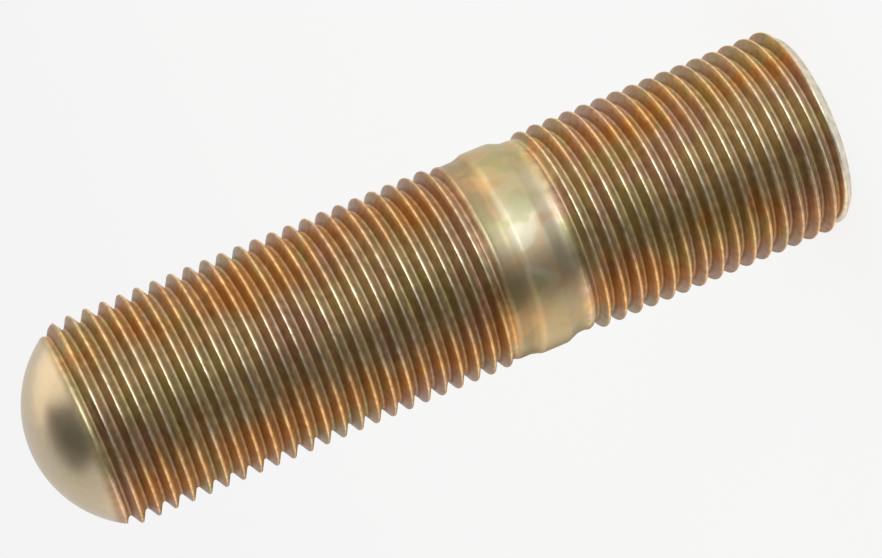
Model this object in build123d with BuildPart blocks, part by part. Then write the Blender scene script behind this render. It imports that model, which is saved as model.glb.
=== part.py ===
from build123d import *
from math import radians, sin, tan
import os

# Wheel stud, M18 x 1.5, threaded at both ends, with a plain collar between the threads.
# The short thread screws into the hub and the long one takes the wheel nut. The stud stands on its
# flat hub end at the origin and +Z runs up its axis to the domed nose. All sizes are in millimetres.
#
# The stud is rolled from a blank as thick as the thread's pitch diameter. That blank still shows in
# the two necks beside the collar, where the rolling stops. The threads are drawn at their outer
# diameter, with no helix, and the hub end's chamfer goes down to the thread's core.

os.makedirs("parts", exist_ok=True)

# Thread
thread_diameter = 18.0
thread_pitch = 1.5
hub_thread_length = 24.0
nut_thread_length = 34.1

# Plain stretch between the threads
collar_length = 2.5
neck_flat = 0.6
neck_slope = 30.0
neck_fillet = 0.4

# Domed nose above the nut thread
nose_height = 5.8

# Metric thread form, from the height of its sharp triangle
thread_triangle = thread_pitch * sin(radians(60))
pitch_diameter = thread_diameter - 0.75 * thread_triangle
thread_depth = 17 / 24 * thread_triangle

thread_radius = thread_diameter / 2
neck_radius = pitch_diameter / 2
shoulder_length = (thread_radius - neck_radius) / tan(radians(neck_slope))
neck_length = neck_flat + 2 * shoulder_length

# Heights along the axis, from the flat end up
hub_thread_top = hub_thread_length
collar_bottom = hub_thread_top + neck_length
collar_top = collar_bottom + collar_length
nut_thread_bottom = collar_top + neck_length
nut_thread_top = nut_thread_bottom + nut_thread_length
overall_length = nut_thread_top + nose_height


def neck(bottom):
    """Half section of one neck, from the wider radius below it to the wider radius above it."""
    return (
        (thread_radius, bottom),
        (neck_radius, bottom + shoulder_length),
        (neck_radius, bottom + shoulder_length + neck_flat),
        (thread_radius, bottom + neck_length),
    )


with BuildPart() as wheel_stud:
    with BuildSketch(Plane.XZ) as half_section:
        with BuildLine():
            side = Polyline(
                (0, 0),
                (thread_radius, 0),
                *neck(hub_thread_top),
                *neck(collar_top),
                (thread_radius, nut_thread_top),
            )
            nose = TangentArc((0, overall_length), side @ 1, tangent=(1, 0))
            Line(nose @ 0, side @ 0)
        make_face()
        neck_corners = half_section.vertices().filter_by_position(Axis.X, neck_radius, neck_radius)
        fillet(neck_corners, radius=neck_fillet)
        end_corner = half_section.vertices().group_by(Axis.Y)[0].sort_by(Axis.X)[-1]
        chamfer(end_corner, length=thread_depth)
    revolve(axis=Axis.Z)

wheel_stud.part.label = "wheel_stud"
export_step(wheel_stud.part, "parts/wheel_stud.step")
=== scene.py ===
import math

import bmesh
import bpy
from mathutils import Matrix, Vector


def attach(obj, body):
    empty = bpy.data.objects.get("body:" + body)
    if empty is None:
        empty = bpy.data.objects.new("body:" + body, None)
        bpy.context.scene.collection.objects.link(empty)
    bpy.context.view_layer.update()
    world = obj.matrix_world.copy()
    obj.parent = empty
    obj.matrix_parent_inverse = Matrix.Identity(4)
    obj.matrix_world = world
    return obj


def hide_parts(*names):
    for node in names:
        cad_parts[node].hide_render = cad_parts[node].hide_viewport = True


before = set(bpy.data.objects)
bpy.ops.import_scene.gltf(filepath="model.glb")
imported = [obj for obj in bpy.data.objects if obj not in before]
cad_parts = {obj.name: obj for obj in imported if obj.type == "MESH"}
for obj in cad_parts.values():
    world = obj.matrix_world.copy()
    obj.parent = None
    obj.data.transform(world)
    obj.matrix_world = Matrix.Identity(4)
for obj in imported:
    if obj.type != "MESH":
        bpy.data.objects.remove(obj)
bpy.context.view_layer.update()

MM = 0.001

# Heights along the stud, from its flat end up
STUD_LENGTH = 70.975 * MM
COLLAR_BOTTOM = 26.2875 * MM
COLLAR_TOP = 28.7875 * MM

# Thread form
CREST_RADIUS = 8.99 * MM
PITCH = 1.5 * MM
THREAD_DEPTH = 0.92 * MM
CREST_FLAT = PITCH / 8
CREST_ROUNDING = 0.05 * MM
ROOT_ROUNDING = 0.2165 * MM
ROOT_ARC_STEPS = 2
FLANK_ANGLE = math.radians(30)
STEPS_PER_TURN = 108

# Run-outs beside the collar, where each thread fades into the plain neck
HUB_RUN_OUT = (23.2 * MM, 24.75 * MM)
NUT_RUN_OUT = (30.45 * MM, 32.2 * MM)

# Ends of the threaded lengths, each joined to the plain length beside it over a narrow seam
HUB_SHEET_TOP = 24.95 * MM
NUT_SHEET_BOTTOM = 30.1 * MM
NUT_SHEET_TOP = 67.0 * MM
SEAM = 0.08 * MM
WAIST_BOTTOM = HUB_SHEET_TOP + SEAM
WAIST_TOP = NUT_SHEET_BOTTOM - SEAM
NOSE_BOTTOM = NUT_SHEET_TOP + SEAM
HUB_START_ANGLE = math.radians(-80)
NUT_START_ANGLE = math.radians(-44)

# Necks and collar
HUB_NECK_RADIUS = 8.56 * MM
NUT_NECK_RADIUS = 8.68 * MM
COLLAR_RADIUS = 8.985 * MM
COLLAR_SLOPE = math.radians(30)
COLLAR_SOFTENING = 0.15 * MM

# Domed nose
DOME_RADIUS = 9.883 * MM
DOME_CENTRE = STUD_LENGTH - DOME_RADIUS
NOSE_RINGS = 40

# Tolerances of the mesh work
MERGE_DISTANCE = 0.002 * MM
CUT_DISTANCE = 0.0005 * MM
RIM_DISTANCE = 0.001 * MM

# Photo camera
PHOTO_WIDTH = 882
FOCAL_PIXELS = 3280
SENSOR_WIDTH = 36.0
CAMERA_DISTANCE = 273.1 * MM
AIM_HEIGHT = 34.2 * MM
CAMERA_ELEVATION = math.radians(10.1)
STUD_LEAN_IN_PICTURE = math.radians(22.65)

# Colours of the plating, and of the painted highlights, reflection and shade laid over it
GOLD = (0.64, 0.51, 0.29)
COPPER = (0.62, 0.31, 0.09)
OLIVE = (0.52, 0.46, 0.21)
ROSE = (0.57, 0.37, 0.27)
AMBER = (0.46, 0.33, 0.14)
STRAW = (0.50, 0.41, 0.22)
PAINTED_HIGHLIGHT_SILVER = (0.76, 0.74, 0.62)
NUT_NECK_SHADE = (0.29, 0.21, 0.10)
DEEP_OLIVE = (0.37, 0.36, 0.15)
PEACH = (0.56, 0.34, 0.16)
CREAM = (0.62, 0.51, 0.35)
GROOVE_DIRT_AND_SHADE = (0.20, 0.11, 0.045)
FLANK_SHADE = (0.50, 0.42, 0.33)
PALE_CREST = (0.76, 0.66, 0.48)
PALE_COPPER = (0.80, 0.50, 0.20)
PALE_RIM = (0.72, 0.69, 0.58)

# Stretches of the stud that the colouring tells apart, as heights, for its plating, painted shade and
# painted light
COLLAR_STRETCH = (24.9 * MM, 31.0 * MM)
LAND_STRETCH = (26.0 * MM, 28.9 * MM)
NUT_NECK_STRETCH = (29.1 * MM, 31.0 * MM)
STRETCH_SOFTNESS = 0.3 * MM
NOSE_FADE = (66.0 * MM, 67.2 * MM)
HUB_LIGHT_FADE = (25.2 * MM, 24.4 * MM)
RIM_FADE = (0.95 * MM, 0.8 * MM)

# Radii where the grooves and the crests start
GROOVE_FADE = (8.45 * MM, 8.15 * MM)
CREST_FADE = (8.74 * MM, 8.95 * MM)

# How far a flank tilts along the stud before the painted highlight of the hub-facing flanks and the
# painted shade of the nose-facing flanks set in
LOWER_FLANK_FADE = (-0.25, -0.75)
UPPER_FLANK_FADE = (0.2, 0.7)

# Sizes, places and edges of the patches, stains, speckle, the copper sides, and the crests' wear and
# painted highlight
SIDE_PATCH_SIZE = 6 * MM
SIDE_PATCH_SHIFT = (0.013, 0.021, 0.007)
SIDE_STRAY = 8 * MM
SIDE_FADE = (2.5 * MM, 6.5 * MM)
TINT_SIZE = 5 * MM
OLIVE_SHIFT = (0.05, 0.02, 0.033)
OLIVE_FADE = (0.47, 0.61)
ROSE_SHIFT = (0.01, 0.07, 0.053)
ROSE_FADE = (0.49, 0.63)
STAIN_SIZE = 3.5 * MM
STAIN_SHIFT = (0.031, 0.004, 0.017)
GREEN_STAIN_FADE = (0.52, 0.62)
PEACH_STAIN_FADE = (0.47, 0.37)
SPECKLE_SIZE = 0.7 * MM
WEAR_AND_HIGHLIGHT_SIZE = 0.9 * MM
WEAR_AND_HIGHLIGHT_FADE = (0.41, 0.58)
SMEAR_SIZE = 3 * MM
GRAIN_SIZE = 0.25 * MM
DENT_SIZE = 1.1 * MM
PATCH_DETAIL = 1.5
FINE_DETAIL = 3.0
RELIEF_DISTANCE = 0.02 * MM

# Studio
BACKGROUND = (0.93, 0.93, 0.93)
CARD_BLACK = (0.07, 0.065, 0.06)
PLAIN = (1.0, 1.0, 1.0)
COOL = (0.9, 1.0, 1.1)
WARM = (1.0, 0.85, 0.68)
FLOOR_RADIUS = 6.0
FLOOR_GLOW = 0.88
WORLD_STRENGTH = 0.75
CARD_REACH = 0.35
CARD_HEIGHT = 0.4 * MM
CARD_STEPS = 24
UPRIGHT = (0, 0, 1)
SIDEWAYS = (-1, 0, 0)


def smooth_step(value, low, high):
    """0 below low, 1 above high and a soft slope between."""
    t = min(max((value - low) / (high - low), 0.0), 1.0)
    return t * t * (3.0 - 2.0 * t)


def camera_axes():
    """Right, up and back directions of the photo's camera, for a stud that stands upright."""
    back = Vector((0, -math.cos(CAMERA_ELEVATION), math.sin(CAMERA_ELEVATION)))
    right = Vector((1, 0, 0))
    up = back.cross(right)
    roll = Matrix.Rotation(-(math.pi / 2 + STUD_LEAN_IN_PICTURE), 3, back)
    return roll @ right, roll @ up, back


def photo_camera():
    right, up, back = camera_axes()
    data = bpy.data.cameras.new("photo_camera")
    data.sensor_width = SENSOR_WIDTH
    data.lens = SENSOR_WIDTH * FOCAL_PIXELS / PHOTO_WIDTH
    data.clip_start = 0.01
    data.clip_end = 20.0
    camera = bpy.data.objects.new("photo_camera", data)
    bpy.context.scene.collection.objects.link(camera)
    place = Vector((0, 0, AIM_HEIGHT)) + back * CAMERA_DISTANCE
    turn = Matrix((right, up, back)).transposed().to_4x4()
    camera.matrix_world = Matrix.Translation(place) @ turn
    bpy.context.scene.camera = camera


def thread_form():
    """Radius and height of the points of one pitch, from the middle of a root to the next root."""
    flat = CREST_FLAT / 2
    lean = math.tan(FLANK_ANGLE)
    turn = math.pi / 2 - FLANK_ANGLE
    root = CREST_RADIUS - THREAD_DEPTH
    angles = [step * turn / ROOT_ARC_STEPS for step in range(ROOT_ARC_STEPS + 1)]
    root_arc = [
        (root + ROOT_ROUNDING * (1 - math.cos(angle)), ROOT_ROUNDING * math.sin(angle))
        for angle in angles
    ]
    flank_middle = 0.45 * THREAD_DEPTH
    half = root_arc + [
        (CREST_RADIUS - flank_middle, PITCH / 2 - flat - flank_middle * lean),
        (CREST_RADIUS - CREST_ROUNDING, PITCH / 2 - flat - CREST_ROUNDING * lean),
        (CREST_RADIUS - 0.2 * CREST_ROUNDING, PITCH / 2 - 0.75 * flat),
        (CREST_RADIUS, PITCH / 2 - 0.3 * flat),
    ]
    upper = [(radius, PITCH - height) for radius, height in reversed(half[1:])]
    return half + upper


def screwed_sheet(mesh, bottom, top, start_angle):
    """Turns a strip of teeth once round the axis while it climbs one pitch, as an open sheet."""
    form = thread_form()
    pitches = math.ceil((top - bottom) / PITCH) + 2
    points = [
        mesh.verts.new((radius, 0, bottom + (pitch - 1) * PITCH + height))
        for pitch in range(pitches)
        for radius, height in form
    ]
    edges = [mesh.edges.new(pair) for pair in zip(points, points[1:])]
    bmesh.ops.spin(
        mesh,
        geom=points + edges,
        cent=(0, 0, 0),
        axis=UPRIGHT,
        dvec=(0, 0, PITCH / STEPS_PER_TURN),
        angle=math.tau,
        steps=STEPS_PER_TURN,
        use_merge=False,
        use_duplicate=False,
    )
    bmesh.ops.remove_doubles(mesh, verts=mesh.verts[:], dist=MERGE_DISTANCE)
    turn = Matrix.Rotation(start_angle, 3, "Z")
    bmesh.ops.rotate(mesh, verts=mesh.verts[:], cent=(0, 0, 0), matrix=turn)


def finished_radius(radius, height):
    """The thread's radius after its run-outs, the nose's dome and the flat end's chamfer."""
    if height < COLLAR_BOTTOM:
        plain = HUB_NECK_RADIUS
        formed = 1.0 - smooth_step(height, *HUB_RUN_OUT)
    else:
        plain = NUT_NECK_RADIUS
        formed = smooth_step(height, *NUT_RUN_OUT)
    rolled = plain + (radius - plain) * formed
    above_centre = max(height - DOME_CENTRE, 0.0)
    dome = math.sqrt(max(DOME_RADIUS**2 - above_centre**2, 0.0))
    chamfer = CREST_RADIUS - THREAD_DEPTH + height
    return min(rolled, dome, chamfer)


def threaded_length(mesh, bottom, top, start_angle):
    """One threaded length, trimmed flat at both ends."""
    length = bmesh.new()
    screwed_sheet(length, bottom, top, start_angle)
    for vert in length.verts:
        across = math.hypot(vert.co.x, vert.co.y)
        share = finished_radius(across, vert.co.z) / across
        vert.co.x *= share
        vert.co.y *= share
    for height, side in ((bottom, -1), (top, 1)):
        bmesh.ops.bisect_plane(
            length,
            geom=length.verts[:] + length.edges[:] + length.faces[:],
            dist=CUT_DISTANCE,
            plane_co=(0, 0, height),
            plane_no=(0, 0, side),
            clear_outer=True,
        )
    for vert in length.verts:
        vert.co.z = min(max(vert.co.z, bottom), top)
    add_to(mesh, length)


def turned_length(mesh, outline, closed_end=False):
    """A plain turned length from its half outline, radius and height from the bottom up."""
    length = bmesh.new()
    points = [length.verts.new((radius, 0, height)) for radius, height in outline]
    edges = [length.edges.new(pair) for pair in zip(points, points[1:])]
    bmesh.ops.spin(
        length,
        geom=points + edges,
        cent=(0, 0, 0),
        axis=UPRIGHT,
        dvec=(0, 0, 0),
        angle=math.tau,
        steps=STEPS_PER_TURN,
        use_merge=True,
        use_duplicate=False,
    )
    if closed_end:
        bmesh.ops.remove_doubles(length, verts=length.verts[:], dist=MERGE_DISTANCE)
    add_to(mesh, length)


def add_to(mesh, length):
    """Moves a finished length into the stud's mesh."""
    holder = bpy.data.meshes.new("length")
    length.to_mesh(holder)
    length.free()
    mesh.from_mesh(holder)
    bpy.data.meshes.remove(holder)


def rim(mesh, height):
    """The open edges at one height."""
    return [
        edge
        for edge in mesh.edges
        if edge.is_boundary and all(abs(vert.co.z - height) < RIM_DISTANCE for vert in edge.verts)
    ]


def collar_shoulder(neck_radius, edge, side):
    """Outline of one softened shoulder, from neck to collar. Side is -1 below the collar, 1 above."""
    soft = COLLAR_SOFTENING
    reach = (COLLAR_RADIUS - neck_radius) / math.tan(COLLAR_SLOPE)
    return [
        (neck_radius, edge + side * (reach + 3.0 * soft)),
        (neck_radius + 0.12 * soft, edge + side * (reach + 1.6 * soft)),
        (neck_radius + 0.5 * soft, edge + side * (reach + 0.3 * soft)),
        (COLLAR_RADIUS - 0.9 * soft, edge + side * 1.4 * soft),
        (COLLAR_RADIUS - 0.35 * soft, edge + side * 0.3 * soft),
        (COLLAR_RADIUS - 0.08 * soft, edge - side * 0.7 * soft),
        (COLLAR_RADIUS, edge - side * 2.0 * soft),
    ]


def waist_outline():
    """Hub-side neck, collar and nut-side neck, from the bottom up."""
    lower = collar_shoulder(HUB_NECK_RADIUS, COLLAR_BOTTOM, -1)
    upper = collar_shoulder(NUT_NECK_RADIUS, COLLAR_TOP, 1)
    return [(HUB_NECK_RADIUS, WAIST_BOTTOM), *lower, *reversed(upper), (NUT_NECK_RADIUS, WAIST_TOP)]


def nose_outline():
    """The dome above the last thread, from its widest ring to the tip."""
    start = math.asin((NOSE_BOTTOM - DOME_CENTRE) / DOME_RADIUS)
    angles = [start + (math.pi / 2 - start) * step / NOSE_RINGS for step in range(NOSE_RINGS + 1)]
    return [
        (DOME_RADIUS * math.cos(angle), DOME_CENTRE + DOME_RADIUS * math.sin(angle))
        for angle in angles
    ]


def wheel_stud_piece():
    """The whole stud as one closed mesh, from its flat end to its nose."""
    mesh = bmesh.new()
    threaded_length(mesh, 0.0, HUB_SHEET_TOP, HUB_START_ANGLE)
    threaded_length(mesh, NUT_SHEET_BOTTOM, NUT_SHEET_TOP, NUT_START_ANGLE)
    turned_length(mesh, waist_outline())
    turned_length(mesh, nose_outline(), closed_end=True)
    for lower, upper in (
        (HUB_SHEET_TOP, WAIST_BOTTOM),
        (WAIST_TOP, NUT_SHEET_BOTTOM),
        (NUT_SHEET_TOP, NOSE_BOTTOM),
    ):
        bmesh.ops.bridge_loops(mesh, edges=rim(mesh, lower) + rim(mesh, upper))
    end_edges = rim(mesh, 0.0)
    bmesh.ops.contextual_create(mesh, geom=end_edges)
    bmesh.ops.recalc_face_normals(mesh, faces=mesh.faces[:])
    for face in mesh.faces:
        face.smooth = True
    for edge in end_edges:
        edge.smooth = False
    return placed("stud_with_rolled_threads", mesh)


def placed(name, mesh):
    """An object in the scene with a finished mesh."""
    data = bpy.data.meshes.new(name)
    mesh.to_mesh(data)
    mesh.free()
    piece = bpy.data.objects.new(name, data)
    bpy.context.scene.collection.objects.link(piece)
    return piece


class Finish:
    """A material's node tree, built one node at a time."""

    def __init__(self, name):
        self.material = bpy.data.materials.new(name)
        self.material.use_nodes = True
        self.tree = self.material.node_tree
        self.shader = self.tree.nodes["Principled BSDF"]

    def node(self, kind, inputs=None, **settings):
        node = self.tree.nodes.new(kind)
        for key, value in settings.items():
            setattr(node, key, value)
        for key, value in (inputs or {}).items():
            self.feed(value, node.inputs[key])
        return node

    def feed(self, value, socket):
        """Links a socket to another node's output, or sets it to a plain value."""
        if isinstance(value, bpy.types.NodeSocket):
            self.tree.links.new(value, socket)
        elif isinstance(value, tuple) and len(value) == 3 and socket.type == "RGBA":
            socket.default_value = (*value, 1.0)
        else:
            socket.default_value = value

    def maths(self, kind, first, second=0.0, third=0.0):
        node = self.node("ShaderNodeMath", {0: first, 1: second, 2: third}, operation=kind)
        return node.outputs[0]

    def times(self, first, second):
        return self.maths("MULTIPLY", first, second)

    def scaled(self, value, scale, start):
        """The value times a scale, added to a start."""
        return self.maths("MULTIPLY_ADD", value, scale, start)

    def fade(self, value, low, high):
        """0 at low, 1 at high, with soft ends."""
        inputs = {"Value": value, "From Min": low, "From Max": high}
        node = self.node("ShaderNodeMapRange", inputs, interpolation_type="SMOOTHSTEP")
        return node.outputs["Result"]

    def band(self, value, low, high, soft):
        """1 between low and high, 0 beyond them."""
        rise = self.fade(value, low - soft, low + soft)
        fall = self.fade(value, high + soft, high - soft)
        return self.times(rise, fall)

    def noise(self, place, size, detail=2.0, distortion=0.0):
        inputs = {"Vector": place, "Scale": 1.0 / size, "Detail": detail, "Distortion": distortion}
        return self.node("ShaderNodeTexNoise", inputs).outputs["Fac"]

    def moved(self, place, shift=(0, 0, 0), stretch=(1, 1, 1)):
        inputs = {"Vector": place, "Location": shift, "Scale": stretch}
        return self.node("ShaderNodeMapping", inputs).outputs["Vector"]

    def mix(self, share, first, second, blend="MIX"):
        node = self.node("ShaderNodeMix", data_type="RGBA", blend_type=blend)
        self.feed(share, node.inputs[0])
        self.feed(first, node.inputs[6])
        self.feed(second, node.inputs[7])
        return node.outputs[2]

    def layer(self, under, over, where, strength):
        """One colour laid over another in part of the surface."""
        return self.mix(self.times(where, strength), under, over)


class YellowZinc(Finish):
    """Yellow zinc plating: gold and copper, olive and pink patches, grooves dark from dirt and painted
    shade, crests pale from wear and painted highlight, and further painted highlights and shade on
    flanks, collar and hub thread.
    """

    def __init__(self):
        super().__init__("yellow_zinc")
        coordinates = self.node("ShaderNodeTexCoord").outputs
        self.place = coordinates["Object"]
        self.tilt = self.node("ShaderNodeSeparateXYZ", {0: coordinates["Normal"]}).outputs["Z"]
        self.mark_zones()
        colour = self.patchy_gold()
        colour = self.collar_colours(colour)
        colour = self.layer(colour, CREAM, self.nose, strength=0.85)
        colour = self.thread_colours(colour)
        colour = self.speckled(colour)
        self.feed(colour, self.shader.inputs["Base Color"])
        self.set_gloss()
        self.set_relief()

    def mark_zones(self):
        """Where the collar, nose, threads, grooves and copper sides are, each from 0 to 1. The copper
        sides lie towards ±X and are partly plating hue, partly painted reflection.
        """
        directions = self.node("ShaderNodeSeparateXYZ", {0: self.place}).outputs
        self.height = directions["Z"]
        flat_inputs = {0: self.place, 1: (1, 1, 0)}
        flat_place = self.node("ShaderNodeVectorMath", flat_inputs, operation="MULTIPLY").outputs[0]
        across = self.node("ShaderNodeVectorMath", {0: flat_place}, operation="LENGTH")
        self.across = across.outputs["Value"]
        self.collar = self.band(self.height, *COLLAR_STRETCH, STRETCH_SOFTNESS)
        self.nose = self.fade(self.height, *NOSE_FADE)
        plain = self.maths("MAXIMUM", self.collar, self.nose)
        self.threaded = self.maths("SUBTRACT", 1.0, plain)
        self.groove = self.times(self.fade(self.across, *GROOVE_FADE), self.threaded)
        beside = self.maths("ABSOLUTE", directions["X"])
        patches = self.noise(self.moved(self.place, SIDE_PATCH_SHIFT), SIDE_PATCH_SIZE, PATCH_DETAIL, 0.6)
        strayed = self.scaled(patches, SIDE_STRAY, self.maths("SUBTRACT", beside, SIDE_STRAY / 2))
        self.sides = self.fade(strayed, *SIDE_FADE)

    def patchy_gold(self):
        """Gold towards ±Y and copper towards ±X, partly plating hue and partly painted warm reflection,
        with olive and pink patches.
        """
        # Painted reflection in part: copper towards ±X and gold towards ±Y, on top of the plating's
        # patchy hue.
        copper_share = self.times(self.sides, self.scaled(self.threaded, 0.5, start=0.4))
        colour = self.mix(copper_share, GOLD, COPPER)
        patchy = self.scaled(self.threaded, 0.35, start=0.45)
        olive_tint = self.noise(self.moved(self.place, OLIVE_SHIFT), TINT_SIZE, PATCH_DETAIL, 0.5)
        colour = self.mix(self.times(self.fade(olive_tint, *OLIVE_FADE), patchy), colour, OLIVE)
        rose_tint = self.noise(self.moved(self.place, ROSE_SHIFT), TINT_SIZE, PATCH_DETAIL, 0.5)
        return self.mix(self.times(self.fade(rose_tint, *ROSE_FADE), patchy), colour, ROSE)

    def collar_colours(self, colour):
        """Amber necks and a straw land, with a painted highlight in the middle, painted shade on the
        nut-side neck, and green and peach stains.
        """
        colour = self.layer(colour, AMBER, self.collar, strength=0.55)
        land = self.band(self.height, *LAND_STRETCH, STRETCH_SOFTNESS)
        colour = self.layer(colour, STRAW, land, strength=0.65)
        # Painted highlight: the collar turns paler silver towards ±Y.
        painted_highlight_middle = self.times(self.collar, self.maths("SUBTRACT", 1.0, self.sides))
        colour = self.layer(colour, PAINTED_HIGHLIGHT_SILVER, painted_highlight_middle, strength=0.4)
        # Painted shade: the nut-side neck, between thread and collar, is darkened.
        shaded_nut_neck = self.band(self.height, *NUT_NECK_STRETCH, STRETCH_SOFTNESS)
        colour = self.layer(colour, NUT_NECK_SHADE, shaded_nut_neck, strength=0.7)
        stains = self.noise(self.moved(self.place, STAIN_SHIFT), STAIN_SIZE, PATCH_DETAIL, 0.6)
        green = self.times(self.fade(stains, *GREEN_STAIN_FADE), self.collar)
        colour = self.layer(colour, DEEP_OLIVE, green, strength=0.5)
        peach = self.times(self.fade(stains, *PEACH_STAIN_FADE), self.collar)
        return self.layer(colour, PEACH, peach, strength=0.5)

    def thread_colours(self, colour):
        """Crests pale from wear and painted highlight, a painted highlight on the hub-facing flanks,
        grooves brown from dirt and painted shade, and painted shade on the nose-facing flanks.
        """
        pale = self.mix(self.sides, PALE_CREST, PALE_COPPER)
        # Painted highlight: the hub-facing flanks are paled.
        lower_flank = self.times(self.fade(self.tilt, *LOWER_FLANK_FADE), self.threaded)
        colour = self.layer(colour, pale, lower_flank, strength=0.6)
        # Grooves darkened, partly as dirt and partly as painted shade.
        colour = self.layer(colour, GROOVE_DIRT_AND_SHADE, self.groove, strength=0.3)
        # Crests paled, partly as wear and partly as a painted highlight.
        crest = self.times(self.fade(self.across, *CREST_FADE), self.threaded)
        wear_and_highlight = self.fade(self.noise(self.place, WEAR_AND_HIGHLIGHT_SIZE, FINE_DETAIL), *WEAR_AND_HIGHLIGHT_FADE)
        colour = self.layer(colour, pale, self.times(crest, wear_and_highlight), strength=0.8)
        # Painted shade: the nose-facing flanks are darkened.
        upper_flank = self.times(self.fade(self.tilt, *UPPER_FLANK_FADE), self.threaded)
        return self.mix(upper_flank, colour, FLANK_SHADE, "MULTIPLY")

    def speckled(self, colour):
        """The rim of the flat end, paler as partly bare metal and partly a painted reflection, a speckle
        that is strongest on the threads, and painted light that brightens the hub thread.
        """
        # The flat end's rim paled, partly as bare metal and partly as a painted reflection.
        colour = self.layer(colour, PALE_RIM, self.fade(self.height, *RIM_FADE), strength=0.7)
        speckle = self.maths("SUBTRACT", self.noise(self.place, SPECKLE_SIZE, FINE_DETAIL), 0.5)
        mottle = self.times(speckle, self.scaled(self.threaded, 0.9, start=0.15))
        # Painted light: the hub thread is made 8% brighter.
        hub_painted_light = self.fade(self.height, *HUB_LIGHT_FADE)
        shade = self.maths("ADD", mottle, self.scaled(hub_painted_light, 0.08, start=1.0))
        return self.mix(1.0, colour, shade, "MULTIPLY")

    def set_gloss(self):
        rough = self.scaled(self.collar, 0.06, start=0.36)
        rough = self.scaled(self.nose, -0.10, start=rough)
        rough = self.scaled(self.groove, 0.25, start=rough)
        rough = self.scaled(self.noise(self.place, SMEAR_SIZE, FINE_DETAIL), 0.14, start=rough)
        self.feed(rough, self.shader.inputs["Roughness"])
        self.shader.inputs["Metallic"].default_value = 1.0
        self.shader.inputs["Coat Weight"].default_value = 0.3
        self.shader.inputs["Coat Roughness"].default_value = 0.3

    def set_relief(self):
        """A fine grain everywhere and small dents on the threads."""
        grain = self.noise(self.moved(self.place, stretch=(1, 1, 2)), GRAIN_SIZE, FINE_DETAIL)
        dents = self.times(self.noise(self.place, DENT_SIZE), self.threaded)
        relief = self.scaled(dents, 3.0, start=grain)
        inputs = {"Height": relief, "Strength": 0.25, "Distance": RELIEF_DISTANCE}
        bump = self.node("ShaderNodeBump", inputs)
        self.feed(bump.outputs["Normal"], self.shader.inputs["Normal"])


def pale_floor():
    """The pale floor. The camera and the metal see its own colour, and it keeps part of its shading."""
    mesh = bmesh.new()
    bmesh.ops.create_circle(mesh, cap_ends=True, segments=96, radius=FLOOR_RADIUS)
    floor = placed("pale_floor", mesh)
    finish = Finish("pale_floor")
    finish.shader.inputs["Base Color"].default_value = (*BACKGROUND, 1)
    finish.shader.inputs["Roughness"].default_value = 0.9
    finish.shader.inputs["Specular IOR Level"].default_value = 0.0
    path = finish.node("ShaderNodeLightPath")
    seen = path.outputs["Is Camera Ray"]
    for ray in ("Is Glossy Ray", "Is Transmission Ray"):
        seen = finish.maths("MAXIMUM", seen, path.outputs[ray])
    glow = finish.node("ShaderNodeEmission", {"Color": BACKGROUND, "Strength": 1.0})
    inputs = {0: finish.times(seen, FLOOR_GLOW), 1: finish.shader.outputs[0], 2: glow.outputs[0]}
    mixed = finish.node("ShaderNodeMixShader", inputs)
    finish.feed(mixed.outputs[0], finish.tree.nodes["Material Output"].inputs["Surface"])
    floor.data.materials.append(finish.material)


def dark_card(name, edge, axis, arc):
    """A dark studio card that only the metal sees. Its edge is swept round an axis, arc in degrees."""
    mesh = bmesh.new()
    points = [mesh.verts.new(point) for point in edge]
    bmesh.ops.spin(
        mesh,
        geom=[*points, mesh.edges.new(points)],
        cent=(0, 0, 0),
        axis=axis,
        dvec=(0, 0, 0),
        angle=math.radians(arc),
        steps=CARD_STEPS,
        use_merge=False,
        use_duplicate=False,
    )
    card = placed(name, mesh)
    finish = Finish(name)
    finish.shader.inputs["Base Color"].default_value = (*CARD_BLACK, 1)
    finish.shader.inputs["Roughness"].default_value = 0.9
    card.data.materials.append(finish.material)
    card.visible_camera = False
    card.visible_shadow = False
    card.visible_diffuse = False


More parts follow.
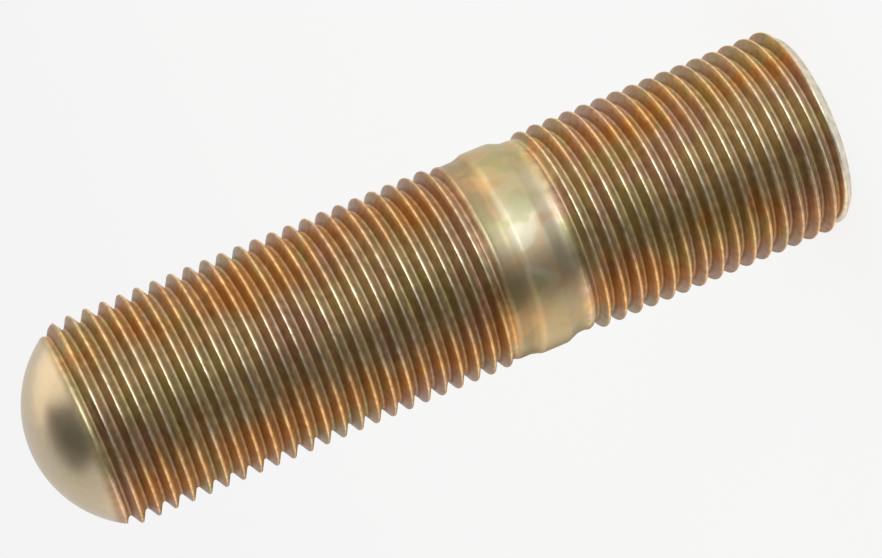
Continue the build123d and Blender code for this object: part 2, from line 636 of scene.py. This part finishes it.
def softbox(name, azimuth, elevation, distance, width, tall, radiance, colour=PLAIN):
    """A soft light that faces the stud. Its azimuth runs from the camera's side to the picture's top."""
    data = bpy.data.lights.new(name, "AREA")
    data.shape = "RECTANGLE"
    data.size = width
    data.size_y = tall
    data.energy = radiance * math.pi * width * tall
    data.color = colour
    lamp = bpy.data.objects.new(name, data)
    bpy.context.scene.collection.objects.link(lamp)
    turn, rise = math.radians(azimuth), math.radians(elevation)
    level = math.cos(rise)
    out = Vector((math.sin(turn) * level, -math.cos(turn) * level, math.sin(rise)))
    place = Vector((0, 0, AIM_HEIGHT)) + out * distance
    facing = (-out).to_track_quat("-Z", "Y").to_matrix().to_4x4()
    lamp.matrix_world = Matrix.Translation(place) @ facing
    lamp.visible_camera = False


def studio_world():
    world = bpy.data.worlds.new("studio_world")
    world.use_nodes = True
    background = world.node_tree.nodes["Background"]
    background.inputs["Color"].default_value = (*PLAIN, 1)
    background.inputs["Strength"].default_value = WORLD_STRENGTH
    bpy.context.scene.world = world


photo_camera()

stud = wheel_stud_piece()
stud.data.materials.append(YellowZinc().material)
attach(stud, "root")
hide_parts("wheel_stud")

pale_floor()
dark_card(
    "front_card",
    edge=((-0.0005, -0.012, CARD_HEIGHT), (-0.03, -0.8, CARD_HEIGHT)),
    axis=UPRIGHT,
    arc=-66,
)
dark_card(
    "arch_card",
    edge=((0.0, -CARD_REACH, CARD_HEIGHT), (-0.3, -0.6 * CARD_REACH, CARD_HEIGHT)),
    axis=SIDEWAYS,
    arc=60,
)
dark_card(
    "top_card",
    edge=((0.11, -0.15, 0.29), (-0.12, -0.15, 0.27)),
    axis=SIDEWAYS,
    arc=42,
)
dark_card(
    "back_card",
    edge=((-0.0077, 0.0092, CARD_HEIGHT), (-0.45, 0.53, CARD_HEIGHT)),
    axis=UPRIGHT,
    arc=-38,
)

softbox("key_strip", 16, 5, distance=0.5, width=0.10, tall=0.28, radiance=14.0, colour=COOL)
softbox("key_softbox", 42, 30, distance=0.6, width=0.35, tall=0.5, radiance=0.7)
softbox("top_softbox", 115, 50, distance=0.5, width=0.4, tall=0.4, radiance=0.7, colour=WARM)
softbox("side_softbox", 88, 10, distance=0.5, width=0.3, tall=0.4, radiance=1.6, colour=WARM)
softbox("lower_softbox", -100, 10, distance=0.4, width=0.5, tall=0.4, radiance=0.9, colour=WARM)
studio_world()

bpy.context.scene.view_settings.view_transform = "Standard"
